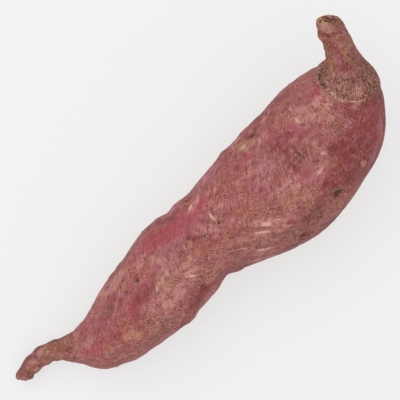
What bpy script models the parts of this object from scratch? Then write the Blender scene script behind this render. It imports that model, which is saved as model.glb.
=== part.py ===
"""A sweet potato lying on its belly, as dug and trimmed: one solid storage root.

The root is one loft. Sections stand along a bent centreline, from the thin tail through
two swollen lobes and a rounded shoulder to the woody stem neck, which turns up and aside.
Relief is then pushed out of that loft or pressed into it: furrows along the root, creases
between the lobes, the corky collar round the neck, ribs on the neck and the eyes.

Metres, +Z up, +X along the root towards the neck, origin under the middle of its box.
"""

import math
import random
from collections import namedtuple

import bmesh
import bpy
import numpy as np

MM = 0.001

# Driving sizes of the mesh and of the two trimmed ends
SIDES = 48
RING_GAP = 3.3 * MM
THIN_RING_SHARE = 0.5
BROAD_HALF_WIDTH = 22 * MM
COLLAR_RING_SHARE = 0.55
CAP_RINGS = 4
TAIL_CAP = 2.0 * MM
NECK_CAP = 2.4 * MM
CAP_ROUNDNESS = 2.8
TABLE_SNAP = 0.12 * MM

# Section centres are in millimetres, heading turns left of +X and pitch up from level,
# and the last two are half the section's width and half its height.
Station = namedtuple("Station", "x y z heading pitch half_width half_height")
STATIONS = (
    Station(-130.1, 6.5, 7.4, 38, -4, 4.2, 4.2),
    Station(-122.4, 7.8, 7.8, 2, -4, 4.5, 4.5),
    Station(-116.0, 7.3, 8.6, -8, -5, 5.0, 5.0),
    Station(-110.5, 5.7, 9.4, -22, -7, 5.2, 5.1),
    Station(-105.8, 3.0, 10.8, -34, -10, 5.5, 5.4),
    Station(-101.5, -0.4, 13.0, -38, -12, 6.9, 6.4),
    Station(-97.2, -3.7, 15.6, -34, -11, 8.8, 8.5),
    Station(-93.6, -6.6, 17.8, -26, -8, 11.5, 11.1),
    Station(-88.8, -10.0, 19.6, -16, -5, 14.3, 13.9),
    Station(-81.8, -11.9, 20.8, -8, -3, 16.6, 16.5),
    Station(-71.6, -13.0, 21.3, -4, -1, 19.6, 19.4),
    Station(-57.7, -13.4, 21.6, -2, 0, 22.4, 22.2),
    Station(-40.5, -12.9, 22.2, -1, 1, 23.9, 22.8),
    Station(-23.4, -12.8, 24.0, -1, 3, 23.5, 22.6),
    Station(-5.4, -16.7, 25.8, -3, 2, 24.3, 24.4),
    Station(13.0, -21.1, 27.4, -4, 1, 28.7, 27.4),
    Station(31.1, -23.7, 28.5, -4, 1, 31.5, 29.1),
    Station(50.4, -24.5, 28.9, -2, 4, 32.2, 29.3),
    Station(67.0, -22.6, 31.2, 5, 11, 30.2, 28.3),
    Station(79.0, -20.1, 34.2, 16, 21, 26.4, 25.4),
    Station(87.4, -16.5, 37.4, 25, 33, 21.4, 21.2),
    Station(93.6, -13.1, 40.0, 31, 43, 15.6, 15.8),
    Station(97.2, -8.4, 42.8, 43, 45, 9.9, 10.6),
    Station(99.0, -3.0, 46.2, 58, 42, 7.6, 7.9),
    Station(101.0, 1.9, 50.2, 63, 38, 6.8, 6.9),
    Station(102.8, 7.3, 54.4, 61, 36, 6.4, 6.5),
    Station(105.0, 12.8, 58.8, 46, 35, 6.3, 6.2),
)

# Furrows run along the root: places in degrees round the section, 0 at its left, 90 on top
FURROW_DEGREES = (24, 98, 158, 232, 301)
FURROW_TWIST = 0.16
FURROW_DEPTH = 0.9 * MM
FURROW_SPREAD_DEGREES = 13
LUMP_HEIGHT = 0.7 * MM

# Folds lie across the root, as creases (height below 0) or swellings: millimetres from the
# tail tip, degrees round the section, half the turn that they reach, and their sizes
Fold = namedtuple("Fold", "along around reach_degrees height width")
FOLDS = (
    Fold(121, 182, 36, -2.2, 3.4),
    Fold(121, 4, 32, -1.8, 4.4),
    Fold(113, 4, 30, -0.5, 3.5),
    Fold(135, 6, 28, -0.7, 5.0),
    Fold(129, 182, 30, -0.7, 4.0),
    Fold(69, 184, 34, -0.8, 7.0),
    Fold(91, 182, 30, 1.7, 5.0),
    Fold(171, 4, 30, -0.7, 8.0),
    Fold(46, 182, 40, 0.7, 5.0),
    Fold(264, 4, 45, 1.2, 2.4),
    Fold(142, 300, 40, -1.0, 3.6),
    Fold(240, 8, 24, -1.2, 3.4),
    Fold(206, 2, 26, -0.8, 8.0),
)

# Eyes are the scars that side roots leave. Those on top are where they lie on this root,
# and those underneath follow the rows that side roots grow in. Their places are millimetres
# from the tail tip and degrees, and their sizes are millimetres.
Eye = namedtuple("Eye", "along around radius depth")
TOP_EYES = (
    Eye(66, 58, 2.8, 0.8),
    Eye(88, 62, 2.9, 1.1),
    Eye(109, 132, 3.0, 1.1),
    Eye(127, 84, 2.4, 0.7),
    Eye(136, 78, 3.3, 1.2),
    Eye(134, 22, 2.5, 0.9),
    Eye(163, 153, 3.3, 1.1),
    Eye(179, 27, 2.7, 1.0),
    Eye(189, 136, 3.4, 1.3),
    Eye(190, 84, 3.4, 1.3),
    Eye(223, 18, 2.6, 0.9),
)
EYE_ROWS_DEGREES = (205, 250, 300, 345)
EYE_ROW_START = 55
EYE_ROW_STAGGER = 12
EYE_ROW_END = 225
EYE_ROW_GAP = 33
EYE_SEED = 11
EYE_LIP = 0.35

# The collar is the scurfy ring where the neck leaves the shoulder
COLLAR_AT = 234 * MM
COLLAR_EDGE_WIDTH = 1.6 * MM
COLLAR_STEP = 0.6 * MM
NECK_RIBS = 7
NECK_RIB_HEIGHT = 0.35 * MM
TAIL_RING_GAP = 7.5 * MM
TAIL_RING_HEIGHT = 0.3 * MM
TAIL_LENGTH = 34 * MM

SKIN_COLOUR = (0.42, 0.11, 0.12, 1)
SKIN_ROUGHNESS = 0.62


def station_column(name):
    return np.array([getattr(station, name) for station in STATIONS], float)


def station_places():
    """Arc length of each station along the centreline, in metres."""
    centres = np.column_stack([station_column(axis) for axis in "xyz"]) * MM
    steps = np.linalg.norm(np.diff(centres, axis=0), axis=1)
    return np.concatenate([[0.0], np.cumsum(steps)])


PLACES = station_places()
ROOT_LENGTH = PLACES[-1]


def between_stations(name, along):
    """A station's value read along the root, on a smooth curve through all of them."""
    values = station_column(name)
    slopes = np.gradient(values, PLACES)
    spot = np.clip(np.searchsorted(PLACES, along, side="right") - 1, 0, len(PLACES) - 2)
    gap = PLACES[spot + 1] - PLACES[spot]
    t = (along - PLACES[spot]) / gap
    rise, fall = t * t * (3 - 2 * t), (1 - t) * (1 - t) * (1 + 2 * t)
    start, end = t * (1 - t) ** 2 * gap, t * t * (t - 1) * gap
    return fall * values[spot] + rise * values[spot + 1] + start * slopes[spot] + end * slopes[spot + 1]


def bell(distance, width):
    return np.exp(-((distance / width) ** 2))


def degrees_apart(around, degrees):
    """Signed angle from a place round the section, in degrees."""
    return (around - degrees + 180) % 360 - 180


def fade(along, start, end):
    """0 before start and 1 after end, or the other way round if end comes first."""
    t = np.clip((along - start) / (end - start), 0, 1)
    return t * t * (3 - 2 * t)


def furrows(along, around):
    """Shallow furrows that wander slowly round the root and die out at its ends."""
    drift = FURROW_TWIST * (along - ROOT_LENGTH / 2) / MM + 5 * np.sin(along / (17 * MM))
    depth = sum(
        bell(degrees_apart(around, degrees + drift), FURROW_SPREAD_DEGREES)
        for degrees in FURROW_DEGREES
    )
    on_body = fade(along, 38 * MM, 75 * MM) * fade(along, 240 * MM, 215 * MM)
    uneven = 0.6 + 0.4 * np.sin(along / (23 * MM) + np.radians(3 * around))
    return -FURROW_DEPTH * depth * uneven * on_body


def lumps(along, around):
    """Broad swellings of the flesh between the furrows."""
    turn = np.radians(around)
    waves = np.sin(along / (11 * MM) + 2 * np.sin(turn)) * np.cos(2 * turn + along / (29 * MM))
    waves += 0.6 * np.sin(along / (6.5 * MM) + 3 * turn) * np.sin(turn - along / (37 * MM))
    on_body = fade(along, 30 * MM, 60 * MM) * fade(along, 245 * MM, 215 * MM)
    return LUMP_HEIGHT * waves * on_body


def folds(along, around):
    """Creases and swellings across the root, such as the pinch between its two lobes."""
    height = np.zeros_like(along)
    for fold in FOLDS:
        lies = bell(degrees_apart(around, fold.around), fold.reach_degrees)
        height += fold.height * MM * lies * bell(along - fold.along * MM, fold.width * MM)
    return height


def hidden_eyes():
    """Eyes on the underside, in rows along the root."""
    draw = random.Random(EYE_SEED)
    found = []
    for row, degrees in enumerate(EYE_ROWS_DEGREES):
        place = EYE_ROW_START + EYE_ROW_STAGGER * (row % 3)
        while place < EYE_ROW_END:
            around = degrees + draw.uniform(-9, 9)
            found.append(Eye(place, around, draw.uniform(2.4, 3.4), draw.uniform(0.9, 1.5)))
            place += EYE_ROW_GAP * draw.uniform(0.8, 1.25)
    return found


def eyes(along, around, half_width):
    """Dimples with a low lip round them."""
    height = np.zeros_like(along)
    for eye in (*TOP_EYES, *hidden_eyes()):
        across = np.radians(degrees_apart(around, eye.around)) * half_width
        reach = np.hypot(along - eye.along * MM, across) / (eye.radius * MM)
        dimple = -bell(reach, 1.0)
        lip = EYE_LIP * bell(reach - 1.75, 0.55)
        height += eye.depth * MM * (dimple + lip)
    return height


def neck_and_tail(along, around):
    """The collar's edge and slope, ribs up the neck and rings on the tail."""
    turn = np.radians(around)
    edge = COLLAR_AT + 0.8 * MM * np.sin(3 * turn)
    groove = -0.9 * COLLAR_STEP * bell(along - edge, COLLAR_EDGE_WIDTH)
    on_collar = fade(along, edge, edge + 2 * COLLAR_EDGE_WIDTH) * fade(along, edge + 12 * MM, edge + 5 * MM)
    step = COLLAR_STEP * on_collar
    on_neck = fade(along, COLLAR_AT, COLLAR_AT + 12 * MM) * fade(along, ROOT_LENGTH, ROOT_LENGTH - 6 * MM)
    ribs = NECK_RIB_HEIGHT * np.cos(NECK_RIBS * turn + along / (9 * MM)) * on_neck
    on_tail = fade(along, TAIL_LENGTH, TAIL_LENGTH - 12 * MM) * fade(along, 0, 4 * MM)
    rings = TAIL_RING_HEIGHT * np.sin(along * math.tau / TAIL_RING_GAP + 1.5 * np.sin(turn)) * on_tail
    return groove + step + ribs + rings


def cap_share(along):
    """How much of its full section the root still has towards its two cut ends."""
    share = np.ones_like(along)
    for reach, cap in ((along, TAIL_CAP), (ROOT_LENGTH - along, NECK_CAP)):
        t = np.clip(1 - reach / cap, 0, 1)
        share *= (1 - t**CAP_ROUNDNESS) ** (1 / CAP_ROUNDNESS)
    return share


def ring_places():
    """Where the sections stand: closer where the root is thin and round the collar."""
    ends = 1 - np.cos(np.linspace(0, math.pi / 2, CAP_RINGS + 1)[1:])
    places = list(TAIL_CAP * ends)
    while places[-1] < ROOT_LENGTH - NECK_CAP - RING_GAP * THIN_RING_SHARE:
        along = np.array([places[-1]])
        width = between_stations("half_width", along)[0] * MM
        share = THIN_RING_SHARE + (1 - THIN_RING_SHARE) * min(1, width / BROAD_HALF_WIDTH)
        near_collar = bell(places[-1] - COLLAR_AT, 6 * MM)
        places.append(places[-1] + RING_GAP * share * (1 - (1 - COLLAR_RING_SHARE) * near_collar))
    places += list(ROOT_LENGTH - NECK_CAP * np.flip(ends))
    return np.array(places)


def surface(along, around):
    """Points of the skin, for a place along the root in metres and degrees round it."""
    values = {name: between_stations(name, along) for name in Station._fields}
    heading, pitch = np.radians(values["heading"]), np.radians(values["pitch"])
    turn = np.radians(around)
    side = np.stack([-np.sin(heading), np.cos(heading), np.zeros_like(heading)], -1)
    up = np.stack([-np.sin(pitch) * np.cos(heading), -np.sin(pitch) * np.sin(heading), np.cos(pitch)], -1)
    centre = np.stack([values[axis] for axis in "xyz"], -1) * MM
    half_width, half_height = values["half_width"] * MM, values["half_height"] * MM
    relief = furrows(along, around) + lumps(along, around) + folds(along, around)
    relief += eyes(along, around, half_width) + neck_and_tail(along, around)
    share = cap_share(along)
    reach_side = ((half_width + relief) * share * np.cos(turn))[..., None]
    reach_up = ((half_height + relief) * share * np.sin(turn))[..., None]
    return centre + side * reach_side + up * reach_up


def root_mesh():
    """The closed skin: rings of points, bridged, with a point to close each end."""
    along, around = np.meshgrid(ring_places(), np.arange(SIDES) * 360 / SIDES, indexing="ij")
    rings = surface(along, around)
    tips = surface(np.array([0.0, ROOT_LENGTH]), np.zeros(2))
    mesh = bmesh.new()
    rows = [[mesh.verts.new(point) for point in ring] for ring in rings]
    for lower, upper in zip(rows, rows[1:]):
        for i in range(SIDES):
            j = (i + 1) % SIDES
            mesh.faces.new((lower[i], lower[j], upper[j], upper[i]))
    for ring, tip in ((rows[0], tips[0]), (rows[-1], tips[1])):
        point = mesh.verts.new(tip)
        for i in range(SIDES):
            mesh.faces.new((ring[i], ring[(i + 1) % SIDES], point))
    return mesh


def flatten_belly(mesh):
    """The root lies on two small flats: what would sink below the table is cut off."""
    cut = bmesh.ops.bisect_plane(
        mesh,
        geom=[*mesh.verts, *mesh.edges, *mesh.faces],
        dist=TABLE_SNAP,
        use_snap_center=True,
        plane_co=(0, 0, 0),
        plane_no=(0, 0, -1),
        clear_outer=True,
    )
    edges = [item for item in cut["geom_cut"] if isinstance(item, bmesh.types.BMEdge)]
    bmesh.ops.holes_fill(mesh, edges=edges)


def centre_on_box(mesh):
    """Puts the origin under the middle of the root's box."""
    low = [min(vert.co[axis] for vert in mesh.verts) for axis in range(3)]
    high = [max(vert.co[axis] for vert in mesh.verts) for axis in range(3)]
    middle = ((low[0] + high[0]) / 2, (low[1] + high[1]) / 2, low[2])
    bmesh.ops.translate(mesh, verts=mesh.verts, vec=[-value for value in middle])
    return middle


def skin_material():
    material = bpy.data.materials.new("skin")
    material.use_nodes = True
    shader = material.node_tree.nodes["Principled BSDF"]
    shader.inputs["Base Color"].default_value = SKIN_COLOUR
    shader.inputs["Roughness"].default_value = SKIN_ROUGHNESS
    shader.inputs["Metallic"].default_value = 0
    return material


def clear_scene():
    for found in list(bpy.data.objects):
        bpy.data.objects.remove(found)


def main():
    clear_scene()
    mesh = root_mesh()
    flatten_belly(mesh)
    middle = centre_on_box(mesh)
    bmesh.ops.recalc_face_normals(mesh, faces=mesh.faces)
    data = bpy.data.meshes.new("sweet_potato")
    mesh.to_mesh(data)
    mesh.free()
    data.shade_smooth()
    data.materials.append(skin_material())
    root = bpy.data.objects.new("sweet_potato", data)
    bpy.context.scene.collection.objects.link(root)
    print(f"sweet potato: {len(data.polygons)} faces, {ROOT_LENGTH / MM:.1f} mm along its centreline")
    print("box middle before it was centred, in mm:", [round(value / MM, 2) for value in middle])


main()
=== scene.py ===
# %% [markdown]
# # The looks of a sweet potato
# This lesson dresses one sweet potato: a long red-skinned root with a waist, a thin bent tail and a
# woody stem neck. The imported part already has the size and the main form. Here the same form is made
# again with a much finer skin, which gets wrinkles, scars, corky flecks and rootlets, and a skin
# colour built from noise and from listed patches. The patches were typed as rounded values. Their
# places were read off the photograph under a grid, and off lists that a script made of where a render
# still differed from it. Lengths are written in millimetres and multiplied by MM, because Blender
# works in metres.

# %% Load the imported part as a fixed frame
import math
import random
from collections import namedtuple

import bpy
import numpy as np
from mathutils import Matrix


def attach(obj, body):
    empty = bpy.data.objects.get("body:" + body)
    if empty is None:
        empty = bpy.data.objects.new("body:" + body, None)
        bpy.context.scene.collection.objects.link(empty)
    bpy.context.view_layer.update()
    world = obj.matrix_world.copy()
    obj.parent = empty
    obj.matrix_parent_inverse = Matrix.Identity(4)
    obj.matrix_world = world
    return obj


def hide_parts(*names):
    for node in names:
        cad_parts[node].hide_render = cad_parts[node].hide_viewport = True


MM = 0.001
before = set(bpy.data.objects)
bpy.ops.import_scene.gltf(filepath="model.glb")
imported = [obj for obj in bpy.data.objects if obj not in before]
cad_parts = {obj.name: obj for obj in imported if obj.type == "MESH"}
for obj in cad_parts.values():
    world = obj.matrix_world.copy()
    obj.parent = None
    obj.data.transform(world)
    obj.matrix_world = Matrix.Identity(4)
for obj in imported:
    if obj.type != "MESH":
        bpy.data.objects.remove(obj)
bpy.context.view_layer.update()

# %% [markdown]
# The root is a loft: rings are set along a bent centreline, and each ring has its own width and height.
# A loft could be drawn as a curve with a bevel, but then every wrinkle would have to be sculpted.
# With a formula that gives a point for each place along and around the root, any detail can be added
# as a height on the same formula. The stations are those of the part's own source, so that the fine
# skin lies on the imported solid. Their places and widths were measured from the photograph's outline
# with a script, and then corrected. Along is measured in millimetres from the tail's tip. Around is in
# degrees: 0 is the root's left side, 90 its top, 180 its right side and 270 its belly.

# %% The stations along the root
def rows(kind, table):
    """One named tuple for each row of numbers."""
    return [kind(*numbers) for numbers in table]


Station = namedtuple("Station", "x y z heading pitch half_width half_height")
STATIONS = rows(Station, (
    (-130.1, 6.5, 7.4, 38, -4, 4.2, 4.2),
    (-122.4, 7.8, 7.8, 2, -4, 4.5, 4.5),
    (-116, 7.3, 8.6, -8, -5, 5, 5),
    (-110.5, 5.7, 9.4, -22, -7, 5.2, 5.1),
    (-105.8, 3, 10.8, -34, -10, 5.5, 5.4),
    (-101.5, -0.4, 13, -38, -12, 6.9, 6.4),
    (-97.2, -3.7, 15.6, -34, -11, 8.8, 8.5),
    (-93.6, -6.6, 17.8, -26, -8, 11.5, 11.1),
    (-88.8, -10, 19.6, -16, -5, 14.3, 13.9),
    (-81.8, -11.9, 20.8, -8, -3, 16.6, 16.5),
    (-71.6, -13, 21.3, -4, -1, 19.6, 19.4),
    (-57.7, -13.4, 21.6, -2, 0, 22.4, 22.2),
    (-40.5, -12.9, 22.2, -1, 1, 23.9, 22.8),
    (-23.4, -12.8, 24, -1, 3, 23.5, 22.6),
    (-5.4, -16.7, 25.8, -3, 2, 24.3, 24.4),
    (13, -21.1, 27.4, -4, 1, 28.7, 27.4),
    (31.1, -23.7, 28.5, -4, 1, 31.5, 29.1),
    (50.4, -24.5, 28.9, -2, 4, 32.2, 29.3),
    (67, -22.6, 31.2, 5, 11, 30.2, 28.3),
    (79, -20.1, 34.2, 16, 21, 26.4, 25.4),
    (87.4, -16.5, 37.4, 25, 33, 21.4, 21.2),
    (93.6, -13.1, 40, 31, 43, 15.6, 15.8),
    (97.2, -8.4, 42.8, 43, 45, 9.9, 10.6),
    (99, -3, 46.2, 58, 42, 7.6, 7.9),
    (101, 1.9, 50.2, 63, 38, 6.8, 6.9),
    (102.8, 7.3, 54.4, 61, 36, 6.4, 6.5),
    (105, 12.8, 58.8, 46, 35, 6.3, 6.2),
))


def station_column(name):
    return np.array([getattr(station, name) for station in STATIONS], float)


def station_places():
    """How far along the root each station is, in metres."""
    centres = np.column_stack([station_column(axis) for axis in "xyz"]) * MM
    steps = np.linalg.norm(np.diff(centres, axis=0), axis=1)
    return np.concatenate([[0.0], np.cumsum(steps)])


PLACES = station_places()
ROOT_LENGTH = PLACES[-1]
print(f"{len(STATIONS)} stations over {ROOT_LENGTH / MM:.1f} mm of root")


# %% Smooth values between the stations, and the helpers that every height uses
def between_stations(name, along):
    """A station's value at any place along the root, on a smooth curve through all of them."""
    values = station_column(name)
    slopes = np.gradient(values, PLACES)
    spot = np.clip(np.searchsorted(PLACES, along, side="right") - 1, 0, len(PLACES) - 2)
    gap = PLACES[spot + 1] - PLACES[spot]
    t = (along - PLACES[spot]) / gap
    rise, fall = t * t * (3 - 2 * t), (1 - t) * (1 - t) * (1 + 2 * t)
    start, end = t * (1 - t) ** 2 * gap, t * t * (t - 1) * gap
    return fall * values[spot] + rise * values[spot + 1] + start * slopes[spot] + end * slopes[spot + 1]


def bell(distance, width):
    return np.exp(-((distance / width) ** 2))


def degrees_apart(around, degrees):
    return (around - degrees + 180) % 360 - 180


def fade(value, start, end):
    """0 at start and 1 at end, with a smooth way between. Start may be the larger of the two."""
    t = np.clip((value - start) / (end - start), 0, 1)
    return t * t * (3 - 2 * t)


def between(along, start, full, end, still_full):
    """Rises from 0 at start to 1 at full, and falls from 1 at still_full to 0 at end."""
    return fade(along, start, full) * fade(along, end, still_full)


# %% [markdown]
# The larger relief repeats the part's source too: shallow furrows that wind along the root, low lumps,
# the folds at the waist, and the eyes, which are the small dimples where rootlets grew. The creases
# are narrower folds that only the fine skin can hold. The eyes on top are where the photograph shows
# them. The hidden ones stand in loose rows with a seeded draw, because a real root has them in rows
# all round.

# %% Furrows, lumps and folds
FURROW_DEGREES = (24, 98, 158, 232, 301)
FURROW_TWIST = 0.16
FURROW_DEPTH = 0.9 * MM
FURROW_SPREAD = 13
FURROW_SWAY = 5
FURROW_SWAY_LENGTH = 17 * MM
FURROWED = 38 * MM, 75 * MM, 240 * MM, 215 * MM
LUMP_HEIGHT = 0.7 * MM
LUMPY = 30 * MM, 60 * MM, 245 * MM, 215 * MM

Fold = namedtuple("Fold", "along around reach_degrees height width")
FOLDS = rows(Fold, (
    (121, 182, 36, -2.2, 3.4), (121, 4, 32, -1.8, 4.4), (113, 4, 30, -0.5, 3.5), (135, 6, 28, -0.7, 5),
    (129, 182, 30, -0.7, 4), (69, 184, 34, -0.8, 7), (91, 182, 30, 1.7, 5), (171, 4, 30, -0.7, 8),
    (46, 182, 40, 0.7, 5), (264, 4, 45, 1.2, 2.4), (142, 300, 40, -1, 3.6), (240, 8, 24, -1.2, 3.4),
    (206, 2, 26, -0.8, 8),
))
CREASES = rows(Fold, (
    (266.4, 66, 42, -0.55, 0.9), (268.2, 66, 42, 0.35, 0.8), (241.8, 92, 60, -0.6, 1.1),
    (239, 345, 22, -1.7, 4), (116.5, 170, 28, -1.3, 3.5), (76, 163, 34, -0.7, 4.5),
    (67, 163, 34, -0.7, 4), (53, 168, 34, -1, 4.5), (202, 162, 24, -0.9, 5), (228, 164, 24, -0.8, 4),
    (266, 8, 34, -1.1, 1.3), (270, 20, 50, 0.25, 2), (161.8, 8, 14, 0.8, 2.2),
))


def furrows(along, around):
    drift = FURROW_TWIST * (along - ROOT_LENGTH / 2) / MM
    drift += FURROW_SWAY * np.sin(along / FURROW_SWAY_LENGTH)
    lies = [bell(degrees_apart(around, degrees + drift), FURROW_SPREAD) for degrees in FURROW_DEGREES]
    uneven = 0.6 + 0.4 * np.sin(along / (23 * MM) + np.radians(3 * around))
    return -FURROW_DEPTH * sum(lies) * uneven * between(along, *FURROWED)


def lumps(along, around):
    """Two sets of crossed waves of unlike lengths, so that no lump is repeated."""
    turn = np.radians(around)
    waves = np.sin(along / (11 * MM) + 2 * np.sin(turn)) * np.cos(2 * turn + along / (29 * MM))
    waves += 0.6 * np.sin(along / (6.5 * MM) + 3 * turn) * np.sin(turn - along / (37 * MM))
    return LUMP_HEIGHT * waves * between(along, *LUMPY)


def folds(along, around):
    height = np.zeros_like(along)
    for fold in FOLDS + CREASES:
        lies = bell(degrees_apart(around, fold.around), fold.reach_degrees)
        height += fold.height * MM * lies * bell(along - fold.along * MM, fold.width * MM)
    return height


# %% Eyes
Eye = namedtuple("Eye", "along around radius depth")
TOP_EYES = rows(Eye, (
    (66, 58, 2.8, 0.8), (88, 62, 2.9, 1.1), (109, 132, 3, 1.1), (127, 84, 2.4, 0.7),
    (136, 78, 3.3, 1.2), (134, 22, 2.5, 0.9), (163, 153, 3.3, 1.1), (179, 27, 2.7, 1),
    (189, 136, 3.4, 1.3), (190, 84, 3.4, 1.3), (223, 18, 2.6, 0.9),
))
EYE_ROWS_DEGREES = (205, 250, 300, 345)
EYE_ROW_START = 55
EYE_ROW_STAGGER = 12
EYE_ROW_END = 225
EYE_ROW_GAP = 33
EYE_SEED = 11
EYE_LIP = 0.35


def hidden_eyes():
    """The eyes on the sides that the photograph doesn't show, in loose rows."""
    draw = random.Random(EYE_SEED)
    found = []
    for row, degrees in enumerate(EYE_ROWS_DEGREES):
        place = EYE_ROW_START + EYE_ROW_STAGGER * (row % 3)
        while place < EYE_ROW_END:
            around = degrees + draw.uniform(-9, 9)
            found.append(Eye(place, around, draw.uniform(2.4, 3.4), draw.uniform(0.9, 1.5)))
            place += EYE_ROW_GAP * draw.uniform(0.8, 1.25)
    return found


def eyes(along, around, half_width):
    height = np.zeros_like(along)
    for eye in TOP_EYES + hidden_eyes():
        across = np.radians(degrees_apart(around, eye.around)) * half_width
        reach = np.hypot(along - eye.along * MM, across) / (eye.radius * MM)
        dimple = -bell(reach, 1.0)
        lip = EYE_LIP * bell(reach - 1.75, 0.55)
        height += eye.depth * MM * (dimple + lip)
    return height


print(f"{len(TOP_EYES)} eyes on top and {len(hidden_eyes())} on the hidden sides")

# %% The woody neck, its collar, the tail's rings and the two cut ends
COLLAR_AT = 234 * MM
COLLAR_EDGE_WIDTH = 1.6 * MM
COLLAR_STEP = 0.6 * MM
COLLAR_WAVER = 0.8 * MM
NECK_RIBS = 7
NECK_RIB_HEIGHT = 0.35 * MM
TAIL_RING_GAP = 7.5 * MM
TAIL_RING_HEIGHT = 0.3 * MM
TAIL_LENGTH = 34 * MM
TAIL_CAP = 2.0 * MM
NECK_CAP = 2.4 * MM
CAP_ROUNDNESS = 2.8


def collar_edge(around):
    """Where the collar starts, which wavers a little on its way round."""
    return COLLAR_AT + COLLAR_WAVER * np.sin(3 * np.radians(around))


def neck_and_tail(along, around):
    turn = np.radians(around)
    edge = collar_edge(around)
    groove = -0.9 * COLLAR_STEP * bell(along - edge, COLLAR_EDGE_WIDTH)
    step = COLLAR_STEP * between(along, edge, edge + 2 * COLLAR_EDGE_WIDTH, edge + 12 * MM, edge + 5 * MM)
    on_neck = between(along, COLLAR_AT, COLLAR_AT + 12 * MM, ROOT_LENGTH, ROOT_LENGTH - 6 * MM)
    ribs = NECK_RIB_HEIGHT * np.cos(NECK_RIBS * turn + along / (9 * MM)) * on_neck
    on_tail = between(along, 0, 4 * MM, TAIL_LENGTH, TAIL_LENGTH - 12 * MM)
    rings = TAIL_RING_HEIGHT * np.sin(along * math.tau / TAIL_RING_GAP + 1.5 * np.sin(turn)) * on_tail
    return groove + step + ribs + rings


def cap_share(along):
    """How much of its full width a ring has: 1 on the root, falling to 0 over each rounded end."""
    share = np.ones_like(along)
    for reach, cap in ((along, TAIL_CAP), (ROOT_LENGTH - along, NECK_CAP)):
        t = np.clip(1 - reach / cap, 0, 1)
        share *= (1 - t**CAP_ROUNDNESS) ** (1 / CAP_ROUNDNESS)
    return share


# %% [markdown]
# Marks are what makes one root differ from another. Each is an ellipse on the skin with a place, two
# half lengths in millimetres, a strength, and a slant unless it lies along the root, where 90 lies
# across it. A scar is a small deep one, the corky end of a rootlet that broke off. The larger soft
# ones are patches of colour: rust and raspberry where the red is warm or bright, wine where it is
# deep, dusk where it is brown-grey, lilac under a dull bloom, tan where the skin is corky, pale where
# it thins, olive round the eyes, and short strokes of cream and amber where it split and healed.
# Some marks are painted shadow: the dark of the crack beside the collar, the thin dusk line in the
# crease under the neck's base, and in part the wine and dusk on the collar's lower right edge.
# Painting them on an image would be quicker, but an image has a fixed sharpness, while an ellipse
# whose edge is broken up by noise is sharp at any size.

# %% Marks and how far a place is from one
Mark = namedtuple("Mark", "along around length width strength slant", defaults=[0])


def mark_reach(mark, along, around, half_width):
    """0 at the mark's middle and 1 on its edge."""
    ahead = along - mark.along * MM
    across = np.radians(degrees_apart(around, mark.around)) * half_width
    slant = math.radians(mark.slant)
    long_way = (ahead * math.cos(slant) + across * math.sin(slant)) / (mark.length * MM)
    short_way = (across * math.cos(slant) - ahead * math.sin(slant)) / (mark.width * MM)
    return np.hypot(long_way, short_way)


# %% Scars, and the crack beside the collar, whose dark is painted shadow
TOP_SCARS_AND_CRACK = rows(Mark, (
    (189.3, 82, 1.5, 0.6, 1, 85), (189.6, 87, 1.2, 0.6, 0.9, 50), (188.5, 136, 2.4, 2, 1, 42),
    (190.2, 138, 1.6, 1, 0.9, 40), (162.4, 156, 2.4, 0.8, 1, 42), (137.4, 81, 1, 0.7, 0.9, 20),
    (88, 64, 1.3, 0.8, 0.9, 70), (178.8, 28, 1, 2.4, 1), (109, 134, 1.5, 0.6, 0.7, 20),
    (127.6, 84, 0.9, 0.8, 0.8, 40), (133, 20, 1.4, 0.8, 0.7, 60), (159.6, 13, 1.7, 0.9, 0.8, 10),
    # 237.4 and 236.6 mm: the crack beside the collar, a real groove darkened with painted shadow.
    (33, 128, 1.3, 0.8, 0.6), (237.4, 18, 5, 0.9, 1, 104), (236.6, 42, 2.2, 0.9, 1, 80),
    (270.55, 25, 0.2, 1.3, 1), (270.7, 150, 0.15, 1.6, 1),
))
SCAR_DEPTH = 0.4 * MM
SCAR_SEED = 23


def scars():
    """All scars and the crack beside the collar: those on top, and two strokes in each hidden eye."""
    draw = random.Random(SCAR_SEED)
    found = TOP_SCARS_AND_CRACK.copy()
    for eye in hidden_eyes():
        slant = draw.uniform(20, 110)
        for aside in (-4, 4):
            place = eye.along + draw.uniform(-0.8, 0.8), eye.around + draw.uniform(0, aside)
            length, width = draw.uniform(0.9, 2.0), draw.uniform(0.5, 1.0)
            leaning = slant + draw.uniform(-40, 40)
            found.append(Mark(*place, length, width, draw.uniform(0.7, 1.0), leaning))
    return found


def scar_reach(along, around, half_width):
    """The reach of the nearest scar, made larger for a faint one."""
    reaches = [mark_reach(scar, along, around, half_width) / scar.strength for scar in scars()]
    return np.minimum.reduce(reaches)


def scar_relief(along, around, half_width):
    reach = scar_reach(along, around, half_width)
    return SCAR_DEPTH * (0.35 * bell(reach - 1.8, 0.6) - bell(reach, 0.9))


print(f"{len(scars())} scars")


# %% The surface itself
def surface(along, around):
    """The skin's points, and the relief's height, at places along (m) and around (degrees) the root."""
    values = {name: between_stations(name, along) for name in Station._fields}
    heading, pitch = np.radians(values["heading"]), np.radians(values["pitch"])
    turn = np.radians(around)
    side = np.stack([-np.sin(heading), np.cos(heading), np.zeros_like(heading)], -1)
    lean = [-np.sin(pitch) * np.cos(heading), -np.sin(pitch) * np.sin(heading), np.cos(pitch)]
    up = np.stack(lean, -1)
    centre = np.stack([values[axis] for axis in "xyz"], -1) * MM
    half_width, half_height = values["half_width"] * MM, values["half_height"] * MM
    relief = furrows(along, around) + lumps(along, around) + folds(along, around)
    relief += eyes(along, around, half_width) + neck_and_tail(along, around)
    relief += scar_relief(along, around, half_width)
    share = cap_share(along)
    across = ((half_width + relief) * share * np.cos(turn))[..., None]
    upwards = ((half_height + relief) * share * np.sin(turn))[..., None]
    return centre + side * across + up * upwards, relief


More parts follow.
